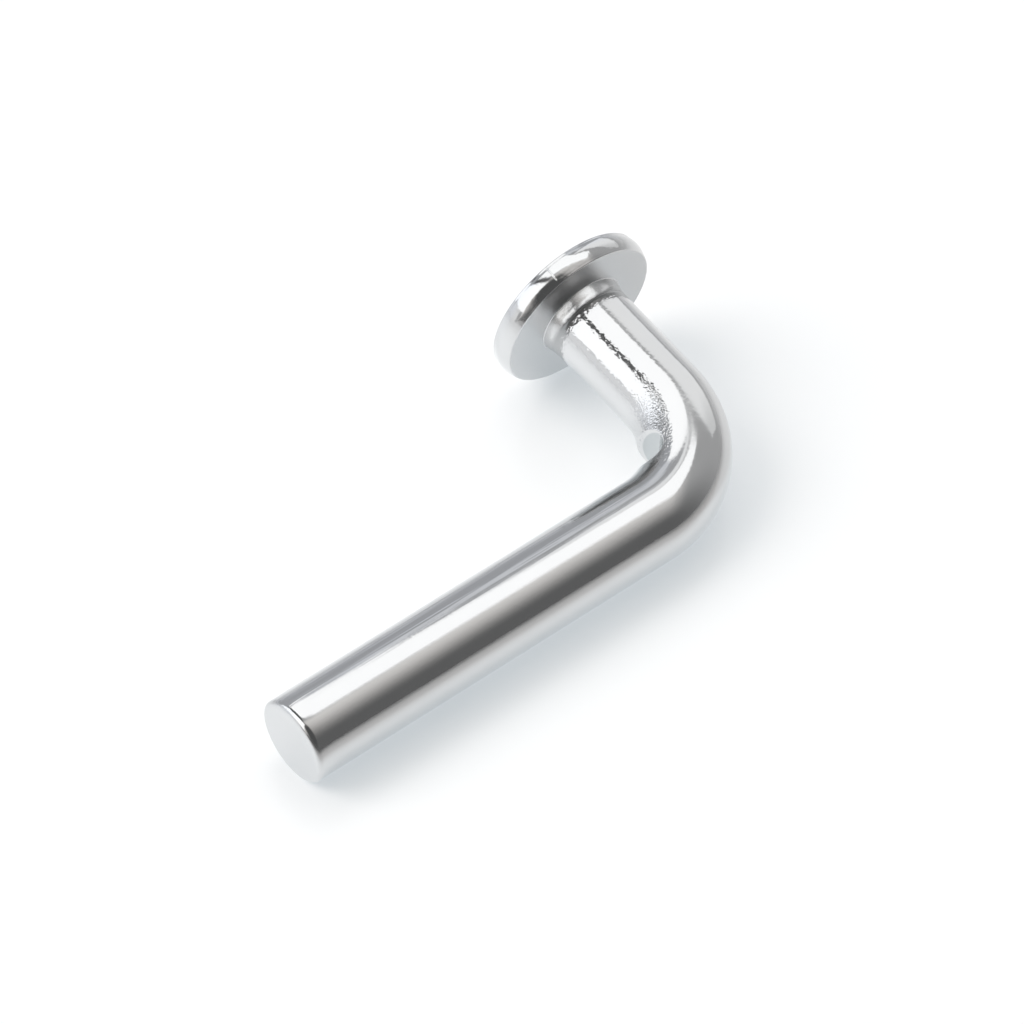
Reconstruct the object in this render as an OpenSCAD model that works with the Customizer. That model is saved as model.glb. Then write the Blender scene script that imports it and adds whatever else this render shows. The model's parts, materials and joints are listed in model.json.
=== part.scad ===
// Pallet rack safety pin: a round steel bar, headed at one end and bent to a right angle.
// It lies as it comes to rest: the plain leg and the head's edge touch the ground (Z = 0).

/* [Bar] */
// Diameter of the bar
rod_d = 8; // [7:0.5:10]
// Plain leg, from the headed leg's axis to the free end
pin_l = 48.8; // [40:0.1:80]
// Rounding of the free end's edge
end_round = 0.35; // [0.2:0.05:0.8]

/* [Bend] */
// Radius of the bend, on the bar's axis
bend_r = 9.5; // [9:0.1:11]
// Radius of the groove that the bending tool pressed into the inside of the bend
groove_r = 1.85; // [1.6:0.05:2.1]
// Depth of that groove below the inside of the bend
groove_depth = 1.65; // [1.4:0.05:1.8]
// Turn of the groove from the middle of the bend towards the plain leg
groove_turn = 4; // [0:1:8]
// Inside radius of the metal that swelled up beside the groove, on the headed leg's side
swell_r = 6.7; // [6.4:0.1:7]

/* [Head] */
// Headed leg, from the plain leg's axis to the underside of the head
drop_l = 21; // [19:0.1:32]
// Diameter of the head
head_d = 16.4; // [15:0.1:20]
// Thickness of the head
head_t = 2.3; // [1.8:0.1:3.5]
// Rounding of the head's edge on the underside
edge_in = 0.25; // [0.15:0.05:0.5]
// Rounding of the head's edge on the outside
edge_out = 0.9; // [0.4:0.1:1.2]
// Lean of the head, in degrees, that upsetting left
head_lean = 2.2; // [0:0.1:4]
// Shift of the head off the bar's axis, towards the free end
head_shift = 0.3; // [0:0.1:0.6]
// How far the collar under the head stands out from the bar
collar_step = 0.25; // [0.1:0.05:0.5]
// Length of that collar
collar_l = 1.2; // [0.8:0.1:2]

/* [Hidden] */
$fn = 96;
rod_r = rod_d / 2;
head_r = head_d / 2;
leg_l = pin_l - bend_r;
groove_dist = bend_r - rod_r + groove_depth - groove_r;
// Middle of the right-angle bend.
mid_bend = 45;
// How far a cut runs past the surface on each side.
cut_over = 1;
// The swelling is a slimmer bar: it starts just under the headed leg's surface and rises out of it.
swell_share = 0.85;
swell_sink = 0.1;
swell_bar_r = swell_share * rod_r;
swell_x = rod_r - swell_sink + swell_r;
swell_y = rod_r + swell_r;
// The leg and its collar are rooted this deep in the head, and the collar's edge is well rounded.
root_l = head_t / 2;
collar_r = rod_r + collar_step;
collar_round = 0.6 * collar_step;
// The pin rolls about the plain leg until the head's edge meets the ground.
touch_y = drop_l + edge_in * cos(head_lean) + (head_r - edge_in) * sin(head_lean);
touch_z = (head_r - edge_in) * cos(head_lean) - edge_in * sin(head_lean);
rest_tilt = atan2(touch_z, touch_y) - asin((rod_r - edge_in) / norm([touch_y, touch_z]));
// The origin is under the middle of the whole pin.
head_tilt = rest_tilt + head_lean;
x_max = head_r - head_shift;
y_max = drop_l * cos(rest_tilt) + (head_t - edge_out) * cos(head_tilt)
    + (head_r - edge_out) * sin(head_tilt) + edge_out;
mid_x = (x_max - pin_l) / 2;
mid_y = (y_max - rod_r) / 2;

// Quarter that a rounded corner of radius r leaves out of a square corner at the origin.
module corner_off(r) {
    translate([-r, -r])
        difference() {
            square(2 * r);
            circle(r = r);
        }
}

module plain_leg() {
    translate([-bend_r, 0, 0])
        rotate([0, -90, 0])
            rotate_extrude()
                difference() {
                    square([rod_r, leg_l]);
                    translate([rod_r, leg_l])
                        corner_off(end_round);
                }
}

module bend() {
    difference() {
        union() {
            translate([-bend_r, bend_r, 0])
                rotate([0, 0, -90])
                    rotate_extrude(angle = 90)
                        translate([bend_r, 0])
                            circle(r = rod_r);
            translate([-swell_x, swell_y, 0])
                rotate([0, 0, -mid_bend])
                    rotate_extrude(angle = mid_bend)
                        translate([swell_r + swell_bar_r, 0])
                            circle(r = swell_bar_r);
        }
        translate([-bend_r, bend_r, 0])
            rotate([0, 0, -mid_bend - groove_turn])
                translate([groove_dist, 0, 0])
                    cylinder(r = groove_r, h = rod_d + 2 * cut_over, center = true);
    }
}

module headed_leg() {
    translate([0, bend_r, 0])
        rotate([-90, 0, 0])
            cylinder(r = rod_r, h = drop_l - bend_r + root_l);
}

// The collar was pressed in one blow with the head, so it leans with it.
module collar() {
    translate([0, drop_l, 0])
        rotate([head_lean - 90, 0, 0])
            translate([0, 0, -collar_l])
                rotate_extrude()
                    difference() {
                        square([collar_r, collar_l + root_l]);
                        translate([collar_r, 0])
                            rotate(-90)
                                corner_off(collar_round);
                    }
}

module head() {
    translate([-head_shift, drop_l, 0])
        rotate([head_lean - 90, 0, 0])
            rotate_extrude()
                difference() {
                    square([head_r, head_t]);
                    translate([head_r, head_t])
                        corner_off(edge_out);
                    translate([head_r, 0])
                        rotate(-90)
                            corner_off(edge_in);
                }
}

module safety_pin() {
    color("Silver")
        translate([-mid_x, -mid_y, rod_r])
            rotate([rest_tilt, 0, 0])
                union() {
                    plain_leg();
                    bend();
                    headed_leg();
                    collar();
                    head();
                }
}

safety_pin();
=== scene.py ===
import json
import math

import bpy
import numpy as np
from mathutils import Matrix, Vector, noise


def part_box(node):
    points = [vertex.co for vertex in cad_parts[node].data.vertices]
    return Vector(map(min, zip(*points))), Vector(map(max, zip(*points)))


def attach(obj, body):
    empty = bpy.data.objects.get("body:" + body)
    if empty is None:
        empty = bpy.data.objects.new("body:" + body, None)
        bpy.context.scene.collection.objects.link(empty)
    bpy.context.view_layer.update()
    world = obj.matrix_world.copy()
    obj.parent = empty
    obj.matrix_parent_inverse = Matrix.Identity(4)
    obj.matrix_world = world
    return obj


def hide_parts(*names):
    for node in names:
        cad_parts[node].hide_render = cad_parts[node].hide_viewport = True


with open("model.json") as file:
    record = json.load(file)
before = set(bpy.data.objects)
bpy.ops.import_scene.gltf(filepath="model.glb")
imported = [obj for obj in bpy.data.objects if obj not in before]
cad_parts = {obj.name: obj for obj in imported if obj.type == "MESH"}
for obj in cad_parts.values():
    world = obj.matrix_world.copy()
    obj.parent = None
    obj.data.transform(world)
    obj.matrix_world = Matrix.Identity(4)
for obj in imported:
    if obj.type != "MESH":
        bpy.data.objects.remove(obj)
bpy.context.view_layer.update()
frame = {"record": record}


# Camera: stands on the free end's side, well away with a long lens, and looks down on the pin
# as it lies, turned a little about its own line of sight.
MM = 0.001
scene = bpy.context.scene
view_azimuth = math.radians(-35.925)
view_elevation = math.radians(46.223)
view_roll = math.radians(-3.955)
view_distance = 568.8 * MM
aim_point = Vector((2.71, -1.55, 4.0)) * MM
sensor_width = 36.0
focal_length = 228.5

camera = bpy.data.cameras.new("camera")
camera.sensor_width = sensor_width
camera.lens = focal_length
camera_object = bpy.data.objects.new("camera", camera)
scene.collection.objects.link(camera_object)
view_turn = (Matrix.Rotation(view_azimuth, 4, "Z")
             @ Matrix.Rotation(math.pi / 2 - view_elevation, 4, "X")
             @ Matrix.Rotation(view_roll, 4, "Z"))
view_back = view_turn.to_3x3() @ Vector((0, 0, 1))
camera_object.matrix_world = Matrix.Translation(aim_point + view_back * view_distance) @ view_turn
scene.camera = camera_object
scene.view_settings.view_transform = "Standard"


# Floor: a plain white table top with a satin face, that the pin lies on. It takes the pin's soft
# shadow, and a little light of its own brings the open table up to white.
floor_half = 3.0
floor_white = (0.536, 0.502, 0.477, 1)
floor_tint = (0.91, 1.0, 1.06, 1)
floor_own_light = 0.52
mirrored_near, mirrored_front = 0.63, 0.31
near_edge, front_edge = -17 * MM, -31 * MM
far_right_start, far_right_end = 40 * MM, 120 * MM
right_start, right_end, right_share = 24 * MM, 32 * MM, 0.68
floor_gloss = 2.0
floor_roughness = 0.35

floor_mesh = bpy.data.meshes.new("floor")
floor_mesh.from_pydata([(-floor_half, -floor_half, 0), (floor_half, -floor_half, 0),
                        (floor_half, floor_half, 0), (-floor_half, floor_half, 0)], [], [(0, 1, 2, 3)])
floor = bpy.data.objects.new("floor", floor_mesh)
scene.collection.objects.link(floor)


def link(tree, source, target):
    """Joins a node's output to another node's input."""
    tree.links.new(source, target)


def feed(tree, value, socket):
    """Sets an input to a number, or joins another node's output to it."""
    if isinstance(value, (int, float)):
        socket.default_value = value
    else:
        link(tree, value, socket)


def math_node(tree, operation, *values):
    """A Math node; each value is a number or another node's output."""
    node = tree.nodes.new("ShaderNodeMath")
    node.operation = operation
    for socket, value in zip(node.inputs, values):
        feed(tree, value, socket)
    return node.outputs[0]


def ramp(tree, value, start, end, low=0.0, high=1.0):
    """Smooth step of a value from low at start to high at end."""
    node = tree.nodes.new("ShaderNodeMapRange")
    node.interpolation_type = "SMOOTHSTEP"
    link(tree, value, node.inputs["Value"])
    for name, number in (("From Min", start), ("From Max", end), ("To Min", low), ("To Max", high)):
        node.inputs[name].default_value = number
    return node.outputs["Result"]


floor_paint = bpy.data.materials.new("floor_white")
floor_paint.use_nodes = True
tree = floor_paint.node_tree
tree.nodes.clear()
matt = tree.nodes.new("ShaderNodeBsdfDiffuse")
matt.inputs["Color"].default_value = floor_white
glow = tree.nodes.new("ShaderNodeEmission")
glow.inputs["Color"].default_value = floor_tint
ray = tree.nodes.new("ShaderNodeLightPath")
spot = tree.nodes.new("ShaderNodeSeparateXYZ")
link(tree, tree.nodes.new("ShaderNodeNewGeometry").outputs["Position"], spot.inputs[0])
mirrored = math_node(tree, "MAXIMUM", ray.outputs["Is Glossy Ray"], ray.outputs["Is Transmission Ray"])
# The table's own light, as the metal mirrors it, is painted weaker in front of the pin and just to the
# right of it: painted shade in the pin's reflection of the table.
front_lit = ramp(tree, spot.outputs["Y"], front_edge, near_edge, mirrored_front, mirrored_near)
far_right_lit = ramp(tree, spot.outputs["X"], far_right_start, far_right_end, 0.0, mirrored_near)
right_lit = ramp(tree, spot.outputs["X"], right_start, right_end, 1.0, right_share)
table_lit = math_node(tree, "MAXIMUM", front_lit, far_right_lit)
mirrored = math_node(tree, "MULTIPLY", mirrored, table_lit)
mirrored = math_node(tree, "MULTIPLY", mirrored, right_lit)
own_light = math_node(tree, "MULTIPLY_ADD", ray.outputs["Is Camera Ray"], floor_own_light, mirrored)
link(tree, own_light, glow.inputs["Strength"])
both = tree.nodes.new("ShaderNodeAddShader")
link(tree, matt.outputs[0], both.inputs[0])
link(tree, glow.outputs[0], both.inputs[1])
sheen = tree.nodes.new("ShaderNodeBsdfGlossy")
sheen.inputs["Roughness"].default_value = floor_roughness
grazing = tree.nodes.new("ShaderNodeFresnel")
grazing.inputs["IOR"].default_value = floor_gloss
table_face = tree.nodes.new("ShaderNodeMixShader")
link(tree, grazing.outputs[0], table_face.inputs[0])
link(tree, both.outputs[0], table_face.inputs[1])
link(tree, sheen.outputs[0], table_face.inputs[2])
link(tree, table_face.outputs[0], tree.nodes.new("ShaderNodeOutputMaterial").inputs["Surface"])
floor_mesh.materials.append(floor_paint)


# Studio: a soft box on the left, a weaker panel on the right, a small strip behind and a dim room,
# darkest at the front left. The shadow light and the box overhead have sections of their own.
# The camera sees plain white.
left_light = 1.52
gap_light = 0.12
panel_light = 1.08
panel_far_light = 0.82
strip_light = 0.80
low_light = 0.97
room_light = 0.47
front_light = 0.15
dark_light = 0.10
spill_light = 0.45
spill_warmth = 0.055
table_glow = 0.30
back_red, back_green, back_blue = 0.972, 0.995, 1.04

studio = bpy.data.worlds.new("studio")
scene.world = studio
studio.use_nodes = True
tree = studio.node_tree
tree.nodes.clear()
direction = tree.nodes.new("ShaderNodeTexCoord").outputs["Generated"]


def along(vector):
    """How far the looked-at direction points along a unit vector."""
    node = tree.nodes.new("ShaderNodeVectorMath")
    node.operation = "DOT_PRODUCT"
    tree.links.new(direction, node.inputs[0])
    node.inputs[1].default_value = vector
    return node.outputs["Value"]


def facing(azimuth, elevation):
    """Unit vector of a direction, in degrees; azimuth runs from +Y towards +X."""
    a, e = math.radians(azimuth), math.radians(elevation)
    return (math.sin(a) * math.cos(e), math.cos(a) * math.cos(e), math.sin(e))


def mixed(under, over, share):
    """One brightness laid over another by a share from 0 to 1."""
    node = tree.nodes.new("ShaderNodeMix")
    for number, value in ((0, share), (2, under), (3, over)):
        feed(tree, value, node.inputs[number])
    return node.outputs[0]


def soft_box(azimuth, elevation, reach_left, reach_right, reach_down, reach_up, edge):
    """Share of a flat light seen in the looked-at direction. The reaches and the edges' softness are
    tangents of angles from its centre."""
    ahead = along(facing(azimuth, elevation))
    side = math_node(tree, "DIVIDE", along(facing(azimuth + 90, 0)), ahead)
    rise = math_node(tree, "DIVIDE", along(facing(azimuth + 180, 90 - elevation)), ahead)
    share = ramp(tree, ahead, 0.02, 0.06)
    for value, start, end in ((side, reach_right + edge, reach_right - edge),
                              (side, -reach_left - edge, -reach_left + edge),
                              (rise, reach_up + edge, reach_up - edge),
                              (rise, -reach_down - edge, -reach_down + edge)):
        share = math_node(tree, "MULTIPLY", share, ramp(tree, value, start, end))
    return share


left_box_top = Vector((1.0, 0.18, 0.60)).normalized()
panel_top = Vector(facing(238, 55)) + 0.8 * Vector(facing(148, 0)) - 0.45 * Vector(facing(58, 35))
panel_top.normalize()
toward_front = along((0, -1, 0))
upward = along((0, 0, 1))
room = ramp(tree, along(facing(-165, 0)), -0.05, 0.72, room_light, front_light)
# The lit table brightens the room's foot, but for the front.
glow_share = math_node(tree, "MULTIPLY", ramp(tree, upward, 0.22, 0.0),
                       ramp(tree, toward_front, 0.2, -0.3))
room = math_node(tree, "ADD", room, math_node(tree, "MULTIPLY", glow_share, table_glow))
# Light spills forward from the overhead box and fades towards the front.
front_angle = math_node(tree, "ARCTAN2", toward_front, upward)
spill = ramp(tree, front_angle, math.radians(66), math.radians(14), 0.0, spill_light)
spill = math_node(tree, "MULTIPLY", spill, ramp(tree, front_angle, math.radians(4), math.radians(16)))
spill = math_node(tree, "MULTIPLY", spill, ramp(tree, along((1, 0, 0)), 0.64, 0.45))
room = math_node(tree, "ADD", room, spill)
dark_share = ramp(tree, along(facing(-144, 38)), 0.80, 0.93)
spill = math_node(tree, "MULTIPLY", spill, math_node(tree, "SUBTRACT", 1.0, dark_share))
room = mixed(room, dark_light, dark_share)
room = mixed(room, gap_light, ramp(tree, along(facing(-55, 56)), 0.86, 0.93))
light = mixed(room, strip_light, soft_box(30, 41, 0.16, 0.16, 0.11, 0.10, 0.03))
panel = math_node(tree, "MULTIPLY", soft_box(58, 35, 0.15, 0.70, 0.42, 0.60, 0.02),
                  ramp(tree, along(panel_top), 0.015, -0.015))
light = mixed(light, ramp(tree, along(facing(148, 0)), 0.27, 0.52, panel_light, panel_far_light), panel)
light = mixed(light, low_light, soft_box(-62, 7, 0.33, 0.47, 0.14, 0.11, 0.03))
left_box = math_node(tree, "MULTIPLY", soft_box(-67, 33, 0.52, 0.78, 0.335, 2.0, 0.02),
                     ramp(tree, along(left_box_top), 0.033, -0.003))
light = mixed(light, left_light, left_box)
# The back of the room is a little cool, and the light spilled to the front a little warm.
tinted = tree.nodes.new("ShaderNodeCombineColor")
for channel, back, warmth in (("Red", back_red, spill_warmth), ("Green", back_green, 0.0),
                              ("Blue", back_blue, -spill_warmth)):
    share = math_node(tree, "MULTIPLY", light, ramp(tree, toward_front, -0.7, -0.25, back, 1.0))
    link(tree, math_node(tree, "MULTIPLY_ADD", spill, warmth, share), tinted.inputs[channel])
shown = tree.nodes.new("ShaderNodeBackground")
link(tree, tinted.outputs[0], shown.inputs["Color"])
plain = tree.nodes.new("ShaderNodeBackground")
plain.inputs["Color"].default_value = (1, 1, 1, 1)
choice = tree.nodes.new("ShaderNodeMixShader")
link(tree, tree.nodes.new("ShaderNodeLightPath").outputs["Is Camera Ray"], choice.inputs[0])
link(tree, shown.outputs[0], choice.inputs[1])
link(tree, plain.outputs[0], choice.inputs[2])
link(tree, choice.outputs[0], tree.nodes.new("ShaderNodeOutputWorld").inputs["Surface"])


# Shadow light: a broad lamp high on the left, that draws the pin's soft shadow towards the front.
# It is flagged off from the metal, which shows only the boxes.
shadow_light = 1.65
shadow_spread = math.radians(40)
shadow_from = facing(-52, 46)
lamp = bpy.data.lights.new("shadow_light", "SUN")
lamp.energy = shadow_light
lamp.angle = shadow_spread
lamp_object = bpy.data.objects.new("shadow_light", lamp)
lamp_object.rotation_euler = Vector(shadow_from).to_track_quat("Z", "Y").to_euler()
lamp_object.visible_glossy = False
scene.collection.objects.link(lamp_object)


# Overhead soft box: hangs close above the pin and reaches well behind it, turned a little, with a soft
# front edge. Only the pin and the table see it.
box_light = 1.46
card_height = 200 * MM
card_corners = ((-44, -90), (-77, 200), (80, 200), (80, 88), (87, 73), (88, 56), (100, 49), (122, 42),
                (155, 15), (150, -25), (130, -90))
cut_normal = (0.409, 0.913, 0.0)
cut_start, cut_end = -32 * MM, -2 * MM

card_mesh = bpy.data.meshes.new("overhead_box")
card_points = [(x * MM, y * MM, card_height) for x, y in card_corners]
card_mesh.from_pydata(card_points, [], [range(len(card_points))])
card = bpy.data.objects.new("overhead_box", card_mesh)
card.visible_camera = False
card.visible_shadow = False
scene.collection.objects.link(card)
card_paint = bpy.data.materials.new("overhead_box")
card_paint.use_nodes = True
tree = card_paint.node_tree
tree.nodes.clear()
inward = tree.nodes.new("ShaderNodeVectorMath")
inward.operation = "DOT_PRODUCT"
link(tree, tree.nodes.new("ShaderNodeNewGeometry").outputs["Position"], inward.inputs[0])
inward.inputs[1].default_value = cut_normal
lit = tree.nodes.new("ShaderNodeEmission")
lit.inputs["Strength"].default_value = box_light
fading = tree.nodes.new("ShaderNodeMixShader")
link(tree, ramp(tree, inward.outputs["Value"], cut_start, cut_end), fading.inputs[0])
link(tree, tree.nodes.new("ShaderNodeBsdfTransparent").outputs[0], fading.inputs[1])
link(tree, lit.outputs[0], fading.inputs[2])
link(tree, fading.outputs[0], tree.nodes.new("ShaderNodeOutputMaterial").inputs["Surface"])
card_mesh.materials.append(card_paint)


# The pin: one length of round steel bar, 8 mm thick. Its end was upset cold into a thin head with a
# collar under it, then the bar was bent to a right angle round a narrow tool that pressed a groove.

# Sizes are in millimetres, in the plane of the legs: X along the plain leg, Y along the headed leg,
# both axes meeting at the origin, and the third axis square to that plane.
mounts = {mount["name"]: mount for mount in frame["record"]["mounts"]}
shank, head_face = mounts["shank"], mounts["head_underside"]
pin_low, pin_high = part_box("safety_pin")
bar_r = shank["dims"]["r_mm"]
head_r, head_t = 8.2, 2.3
head_shift = 0.3
head_lean = math.radians(2.2)
bend_r = 9.5
drop_l = 21.0
corner = np.array((pin_high.x / MM - head_r + head_shift,
                   shank["pos_m"][1] / MM, shank["pos_m"][2] / MM))
pin_l = corner[0] - pin_low.x / MM
rest_tilt = math.asin(-head_face["axis"][2]) - head_lean

# Points round the bar, in degrees from the inside of the bend: closest where the groove is, and at a
# nick in the head's rim.
nick_angle = 67.3
around = np.radians(np.concatenate((np.linspace(-180, -62, 78, endpoint=False),
                                    np.linspace(-62, 62, 120, endpoint=False),
                                    (62.0, 63.3, 64.6, 65.8), nick_angle + np.linspace(-0.8, 0.8, 7),
                                    np.linspace(69, 180, 74, endpoint=False))))
count = len(around)
rings, bar_places, grains = [], [], []


def add_ring(centre, inward, third, radius, place, grain):
    """A ring of points; inward and third are its own axes, radius and grain one number or one per
    point. Place runs along the bar from the start of the bend, as if the bar were still straight."""
    radius = np.broadcast_to(radius, around.shape)[:, None]
    rings.append(np.asarray(centre) + radius * (np.outer(np.cos(around), inward)
                                                + np.outer(np.sin(around), third)))
    bar_places.append(np.column_stack((np.full(count, place), radius[:, 0] * np.cos(around),
                                       radius[:, 0] * np.sin(around))))
    grains.append(np.broadcast_to(grain, around.shape))


def smooth_share(value, start, end):
    """Smooth step from 0 at start to 1 at end."""
    share = np.clip((value - start) / (end - start), 0, 1)
    return share * share * (3 - 2 * share)


# Plain leg: cut off square. Tumbling rounded the end's edge, most on one side, and drew the bar in a
# little towards it.
top_share = smooth_share(np.cos(around - math.radians(100)), 0.0, 0.9)
least_round, more_round = 0.33, 0.42
end_round = least_round + more_round * top_share
taper_l, taper_slope = 1.8, math.radians(6) * top_share
hair = 0.03
leg_grain = 0.12
square_up = np.array((0.0, 0.0, 1.0))
taper_start = end_round * (1 - np.sin(taper_slope))
draw_in = np.tan(taper_slope) * (taper_l - taper_start) / 2
edge_r = bar_r - draw_in + end_round * (1 - np.cos(taper_slope))
end_rings = [(radius, 0) for radius in (0.5, 1.6, 2.6, edge_r - end_round - hair)]
for share in np.linspace(0, 1, 10):
    turn = -math.pi / 2 + share * (math.pi / 2 - taper_slope)
    end_rings += [(edge_r - end_round * (1 - np.cos(turn)), end_round * (1 + np.sin(turn)))]
for share in np.linspace(0, 1, 7)[1:]:
    end_rings += [(bar_r - draw_in * (1 - share) ** 2, taper_start + share * (taper_l - taper_start))]
for radius, reach in end_rings:
    add_ring((-pin_l, 0, 0), (0, 1, 0), square_up, radius, bend_r - pin_l + np.mean(reach), leg_grain)
    rings[-1][:, 0] += reach
for place in np.linspace(2.5 - pin_l, -bend_r, 24, endpoint=False):
    add_ring((place, 0, 0), (0, 1, 0), square_up, bar_r, place + bend_r,
             leg_grain + 0.1 * smooth_share(place + bend_r, -8, 0))

# Bend: the bar turns through a right angle. The tool pressed a groove across its inside, and the
# metal beside the groove swelled up on the headed leg's side and went grainy as it was squeezed.
groove_r, groove_depth = 1.85, 1.65
groove_angle = math.radians(41)
groove_rim = 0.12
squeezed_grain = 5
swell_r, swell_bar_r = 6.7, 3.4
swell_blend = 0.2
bend_centre = np.array((-bend_r, bend_r, 0.0))
groove_dist = bend_r - bar_r + groove_depth - groove_r
groove_axis = bend_centre + groove_dist * np.array((math.sin(groove_angle), -math.cos(groove_angle), 0))
swell_centre = np.array((0.1 - bar_r - swell_r, bar_r + swell_r, 0.0))


def blend_out(first, second, width):
    """Join of two solids, given as distances outside them, with a fillet of about that width."""
    share = np.clip(0.5 + 0.5 * (second - first) / width, 0, 1)
    return second + (first - second) * share - width * share * (1 - share)


def outside_bend(points, from_axis):
    """Distance outside the grooved bend, where from_axis is the distance from the bar's axis."""
    flat = points - swell_centre
    turn = np.clip(np.arctan2(flat[..., 1], flat[..., 0]), -math.pi / 4, 0)
    spine = (swell_r + swell_bar_r) * np.stack((np.cos(turn), np.sin(turn), 0 * turn), axis=-1)
    swelling = np.linalg.norm(flat - spine, axis=-1) - swell_bar_r
    body = blend_out(from_axis - bar_r, swelling, swell_blend)
    groove = np.hypot(points[..., 0] - groove_axis[0], points[..., 1] - groove_axis[1]) - groove_r
    return -blend_out(-body, groove, groove_rim)


def squeezed(place):
    """Grain round the bar at a place along it: strongest on the inside of the bend, past the groove."""
    inside = smooth_share(np.cos(around), 0.36, 0.52)
    return squeezed_grain * inside * smooth_share(place, 2.5, 5) * smooth_share(place, 18, 13)


bar_grain = 0.3 + 0.7 * smooth_share(np.cos(around), 0.1, 0.4)
bend_grain, groove_grain = 0.12, 0.3
groove_lip = 0.1
pressed = []
groove_reach = math.radians(21)
bend_turns = np.concatenate((np.linspace(0, groove_angle - groove_reach, 20, endpoint=False),
                             groove_angle - groove_reach * np.cos(np.linspace(0, math.pi, 110)),
                             np.linspace(groove_angle + groove_reach, math.pi / 2, 29)[1:]))
for turn in bend_turns:
    outward = np.array((math.sin(turn), -math.cos(turn), 0))
    rays = np.outer(np.cos(around), -outward) + np.outer(np.sin(around), square_up)
    centre = bend_centre + bend_r * outward
    inside, outside = np.full(around.shape, 1.5), np.full(around.shape, bar_r + 1.5)
    for _ in range(40):
        middle = (inside + outside) / 2
        is_out = outside_bend(centre + middle[:, None] * rays, middle) > 0
        outside, inside = np.where(is_out, middle, outside), np.where(is_out, inside, middle)
    in_groove = smooth_share(bar_r - groove_lip - inside, 0, groove_lip)
    past_groove = smooth_share(turn, 0.9, math.pi / 2)
    grain = bend_grain + (bar_grain - bend_grain) * past_groove + squeezed(bend_r * turn)
    grain = grain * (1 - in_groove) + groove_grain * in_groove
    pressed.append((len(rings), in_groove))
    add_ring(centre, -outward, square_up, inside, bend_r * turn, grain)

# Headed leg: straight up to the collar, where its rings lean over to lie in the head's plane.
collar_l = 1.3
upset, upset_l = 0.03, 5
rough_top, rough_top_l = 0.4, 2.5
leg_foot = bend_r * math.pi / 2 - bend_r
leg_top = drop_l - collar_l - hair
for share in np.append(np.linspace(0, 0.97, 20)[1:], 1.0):
    place = bend_r + share * (leg_top - bend_r)
    grain = bar_grain + squeezed(place + leg_foot)
    grain = grain + rough_top * smooth_share(place, leg_top - rough_top_l, leg_top)
    radius = bar_r + upset * smooth_share(place, leg_top - upset_l, leg_top)
    add_ring((0, place, 0), (-1, 0, 0), square_up, radius, place + leg_foot, grain)
    rings[-1][:, 1] -= share * math.tan(head_lean) * rings[-1][:, 2]

# Collar and head, upset in one blow: the collar is a low swelling of the bar, and the head a thin disc
# whose rim bulges, more sharply on the outside. Places run from the head's underside outwards.
collar_bow, collar_slope = 0.55, math.radians(14)
collar_foot = 0.08
crest, inner_crown, outer_crown = 1.22, 2.2, 1.75
edge_in, edge_top = 0.12, 0.25
face_drop = 0.11
face_t = head_t - face_drop
head_axis = np.array((0, math.cos(head_lean), math.sin(head_lean)))
head_third = np.array((0, -math.sin(head_lean), math.cos(head_lean)))
bow_r = collar_bow / math.sin(collar_slope)


def arc(middle, radius, start, end, steps):
    """Points of a circular arc, as (radius from the axis, place along it); angles in degrees."""
    turn = np.radians(np.linspace(start, end, steps))
    return [(middle[0] + radius * math.cos(t), middle[1] + radius * math.sin(t)) for t in turn]


collar_profile = arc((bar_r + upset + bow_r, -collar_l), bow_r,
                     180, 180 - math.degrees(collar_slope), 9)
collar_r = collar_profile[-1][0] + (collar_l - collar_bow - collar_foot) * math.tan(collar_slope)
collar_profile += [(collar_r, -collar_foot)]
collar_profile += arc((collar_r + collar_foot, -collar_foot), collar_foot, 165, 90, 6)
under_profile = [(collar_r + collar_foot + hair, 0), (5.5, 0), (6.8, 0)]


def rim_radius(place):
    """Radius of the rim at a place through its thickness."""
    crown = inner_crown if place < crest else outer_crown
    return head_r - crown + math.sqrt(crown ** 2 - (place - crest) ** 2)


under_r = rim_radius(edge_in)
under_profile += [(under_r - edge_in - hair, 0)]
rim_profile = arc((under_r - edge_in, edge_in), edge_in, -90, -20, 6)
rim_places = np.linspace(edge_in + hair, face_t - edge_top, 28)
rim_profile += [(rim_radius(place), place) for place in rim_places]
top_r = rim_radius(face_t - edge_top) - edge_top * math.cos(math.radians(24))
top_profile = arc((top_r, face_t - edge_top), edge_top, 30, 90, 7)
top_profile += [(top_r - hair, face_t), (5.5, face_t), (3.0, face_t), (0.8, face_t)]
head_foot = leg_foot + drop_l
collar_grain, under_grain, head_grain = 0.5, 0.2, 0.35
collar_satin = 0.5


def add_head_ring(shift, radius, place, grain):
    """A ring square to the head's axis, shifted off the bar's axis towards the free end."""
    centre = (-shift, drop_l, 0) + place * head_axis
    add_ring(centre, (-1, 0, 0), head_third, radius, place + head_foot, grain)


# The die left the collar and the underside of the head satin.
first_satin = len(rings)
for radius, place in collar_profile:
    add_head_ring(0, radius, place, collar_grain)
for radius, place in under_profile:
    shift = head_shift * min(1, (radius - collar_r) / (under_r - edge_in - hair - collar_r))
    add_head_ring(shift, radius, place, under_grain)
last_satin = len(rings)

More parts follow.
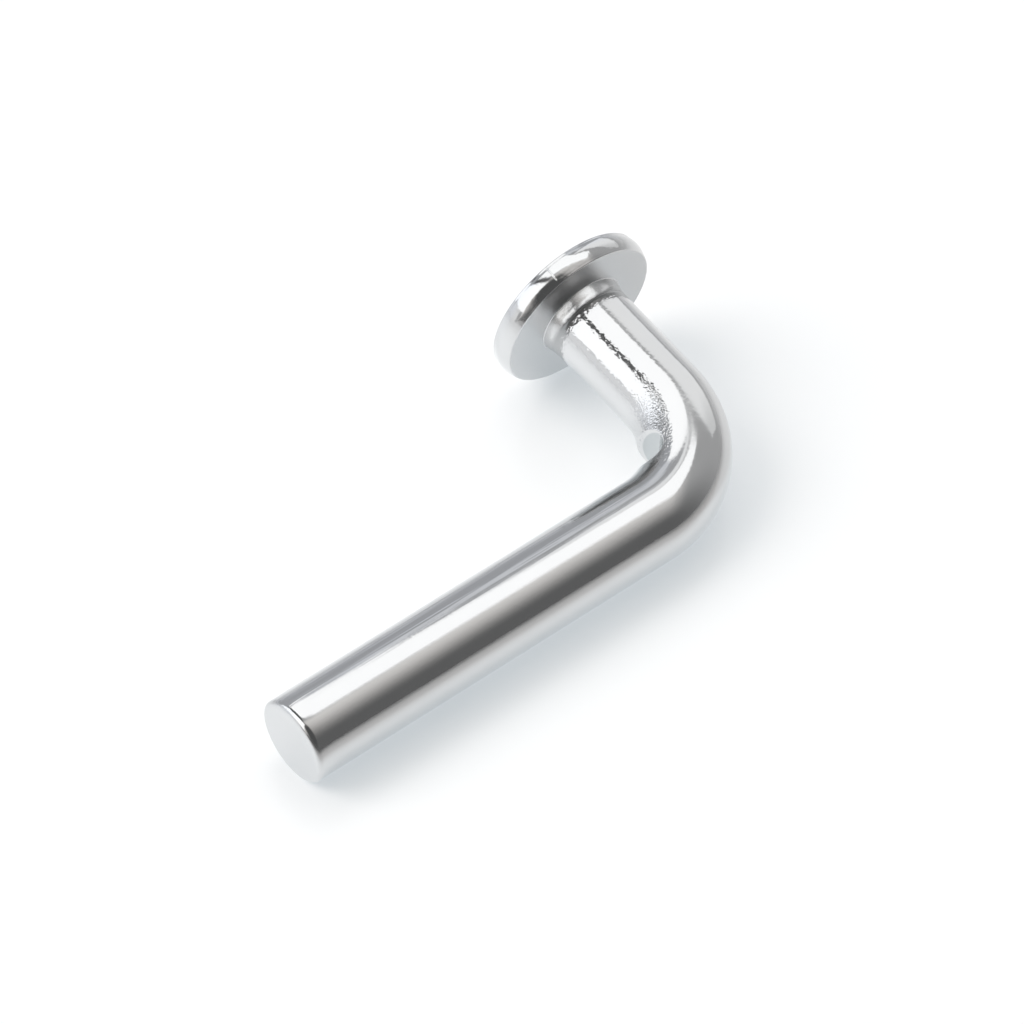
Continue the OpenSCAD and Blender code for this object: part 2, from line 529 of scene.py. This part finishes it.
# The rim took shallow dents in the press and one nick straight across it later.
dent_depth = 0.05
dents_round, dents_through = 3.1, 0.9
nick_depth, nick_half = 0.05, math.radians(0.45)
for radius, place in rim_profile:
    middle = smooth_share(place, 0.0, 0.5) * smooth_share(place, 2.2, 1.7)
    dents = np.array([noise.noise(Vector((dents_round * math.cos(a), dents_round * math.sin(a),
                                          dents_through * place))) for a in around])
    nick = np.clip(1 - np.abs(around - math.radians(nick_angle)) / nick_half, 0, 1)
    nick *= smooth_share(place, 0.4, 0.6) * smooth_share(place, 2.0, 1.85)
    radius = radius - middle * dent_depth * (0.5 + 0.5 * dents) - nick_depth * nick
    add_head_ring(head_shift, radius, place, head_grain)
for radius, place in top_profile:
    add_head_ring(head_shift, radius, place, head_grain)

# The mesh: quads between the rings, and a fan of triangles in the middle of each end face.
points = np.concatenate(rings)
poles = np.array(((-pin_l, 0, 0), (-head_shift, drop_l, 0) + face_t * head_axis))
points = np.concatenate((points, poles))
step = np.arange(count)
beside = (step + 1) % count
faces = []
for row in range(len(rings) - 1):
    low, high = row * count, (row + 1) * count
    faces += np.stack((low + step, high + step, high + beside, low + beside), axis=1).tolist()
first_pole, last_pole, last = len(points) - 2, len(points) - 1, (len(rings) - 1) * count
faces += [(first_pole, a, b) for a, b in zip(step.tolist(), beside.tolist())]
faces += [(last_pole, last + b, last + a) for a, b in zip(step.tolist(), beside.tolist())]
tilted = points.copy()
tilted[:, 1] = points[:, 1] * math.cos(rest_tilt) - points[:, 2] * math.sin(rest_tilt)
tilted[:, 2] = points[:, 1] * math.sin(rest_tilt) + points[:, 2] * math.cos(rest_tilt)
pin_mesh = bpy.data.meshes.new("safety_pin_plated")
pin_mesh.from_pydata(((tilted + corner) * MM).tolist(), [], faces)
bar_places = np.concatenate(bar_places + [((bend_r - pin_l, 0, 0), (head_foot + head_t, 0, 0))])
grains = np.concatenate(grains + [(leg_grain, head_grain)])
# Share of painted shade in the groove's rows, where the plate's colour is darkened.
groove_shade = np.zeros(len(points))
for row, share in pressed:
    groove_shade[row * count:(row + 1) * count] = share
satin = np.zeros(len(points))
satin[first_satin * count:last_satin * count] = 1
satin[first_satin * count:(first_satin + len(collar_profile)) * count] = collar_satin
place_values = pin_mesh.attributes.new("bar_place", "FLOAT_VECTOR", "POINT").data
place_values.foreach_set("vector", bar_places.ravel())
for name, values in (("grain", grains), ("pressed", groove_shade), ("satin", satin)):
    pin_mesh.attributes.new(name, "FLOAT", "POINT").data.foreach_set("value", values)
pin_mesh.shade_smooth()
pin = bpy.data.objects.new("safety_pin_plated", pin_mesh)
scene.collection.objects.link(pin)

# Bright zinc plate: a thin, even coat that mirrors the room. It follows the steel's fine grain and the
# faint lines that drawing left along the bar. It is a little cloudy in places, and satin where the die
# pressed the collar and the head's underside. In the groove its colour is darker grey, partly duller
# plating in the recess and partly painted shade.
wave_size, wave_height = 0.38, 0.022
grain_size, grain_height = 0.22, 0.012
line_width, line_length, line_height = 0.18, 9.0, 0.022
line_least = 0.06
cloud_size = 2.5
plate_grey, plate_pale = (0.645, 0.651, 0.656, 1), (0.675, 0.680, 0.684, 1)
# Darker grey for the groove: partly duller plating, partly painted shade.
groove_shade_grey = (0.490, 0.515, 0.525, 1)
plate_roughness, cloud_roughness, satin_roughness = 0.10, 0.10, 0.2
zinc = bpy.data.materials.new("bright_zinc")
zinc.use_nodes = True
tree = zinc.node_tree
surface = tree.nodes["Principled BSDF"]
surface.inputs["Metallic"].default_value = 1.0
bar_place = tree.nodes.new("ShaderNodeAttribute")
bar_place.attribute_name = "bar_place"
grain_amount = tree.nodes.new("ShaderNodeAttribute")
grain_amount.attribute_name = "grain"


def ripple(size, detail, stretch=1.0):
    """Noise round zero, with features of a size in millimetres, stretched along the bar."""
    sized = tree.nodes.new("ShaderNodeVectorMath")
    sized.operation = "MULTIPLY"
    link(tree, bar_place.outputs["Vector"], sized.inputs[0])
    sized.inputs[1].default_value = (1 / (size * stretch), 1 / size, 1 / size)
    texture = tree.nodes.new("ShaderNodeTexNoise")
    texture.inputs["Scale"].default_value = 1.0
    texture.inputs["Detail"].default_value = detail
    link(tree, sized.outputs[0], texture.inputs["Vector"])
    return math_node(tree, "SUBTRACT", texture.outputs["Fac"], 0.5)


wave_share = math_node(tree, "MINIMUM", grain_amount.outputs["Fac"], 1.0)
wave_relief = math_node(tree, "MULTIPLY", ripple(wave_size, 1.0), wave_share)
wave_relief = math_node(tree, "MULTIPLY", wave_relief, wave_height)
grain_share = math_node(tree, "SUBTRACT", grain_amount.outputs["Fac"], 1.0)
grain_share = math_node(tree, "MAXIMUM", grain_share, 0.0)
grain_relief = math_node(tree, "MULTIPLY", ripple(grain_size, 1.0), grain_share)
grain_relief = math_node(tree, "MULTIPLY_ADD", grain_relief, grain_height, wave_relief)
side_of_bar = tree.nodes.new("ShaderNodeSeparateXYZ")
link(tree, bar_place.outputs["Vector"], side_of_bar.inputs[0])
line_share = ramp(tree, side_of_bar.outputs["Y"], 0.0, 1.0, line_height * line_least, line_height)
line_share = math_node(tree, "MULTIPLY", line_share, ramp(tree, side_of_bar.outputs["X"], 6.0, 0.0))
line_relief = math_node(tree, "MULTIPLY", ripple(line_width, 1.0, line_length / line_width), line_share)
relief = tree.nodes.new("ShaderNodeBump")
relief.inputs["Distance"].default_value = MM
link(tree, math_node(tree, "ADD", grain_relief, line_relief), relief.inputs["Height"])
link(tree, relief.outputs["Normal"], surface.inputs["Normal"])
cloud = ripple(cloud_size, 3.0)
tone = tree.nodes.new("ShaderNodeMix")
tone.data_type = "RGBA"
tone.inputs["A"].default_value = plate_grey
tone.inputs["B"].default_value = plate_pale
link(tree, math_node(tree, "ADD", cloud, 0.5), tone.inputs["Factor"])
# Painted shade in the groove: the plate's colour is mixed towards the darker grey there.
pressed_share = tree.nodes.new("ShaderNodeAttribute")
pressed_share.attribute_name = "pressed"
groove_shade_tone = tree.nodes.new("ShaderNodeMix")
groove_shade_tone.data_type = "RGBA"
link(tree, pressed_share.outputs["Fac"], groove_shade_tone.inputs["Factor"])
link(tree, tone.outputs["Result"], groove_shade_tone.inputs["A"])
groove_shade_tone.inputs["B"].default_value = groove_shade_grey
link(tree, groove_shade_tone.outputs["Result"], surface.inputs["Base Color"])
satin_share = tree.nodes.new("ShaderNodeAttribute")
satin_share.attribute_name = "satin"
roughness = math_node(tree, "MULTIPLY_ADD", cloud, cloud_roughness, plate_roughness)
roughness = math_node(tree, "MULTIPLY_ADD", satin_share.outputs["Fac"], satin_roughness, roughness)
link(tree, roughness, surface.inputs["Roughness"])
pin_mesh.materials.append(zinc)

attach(pin, "root")
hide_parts("safety_pin")
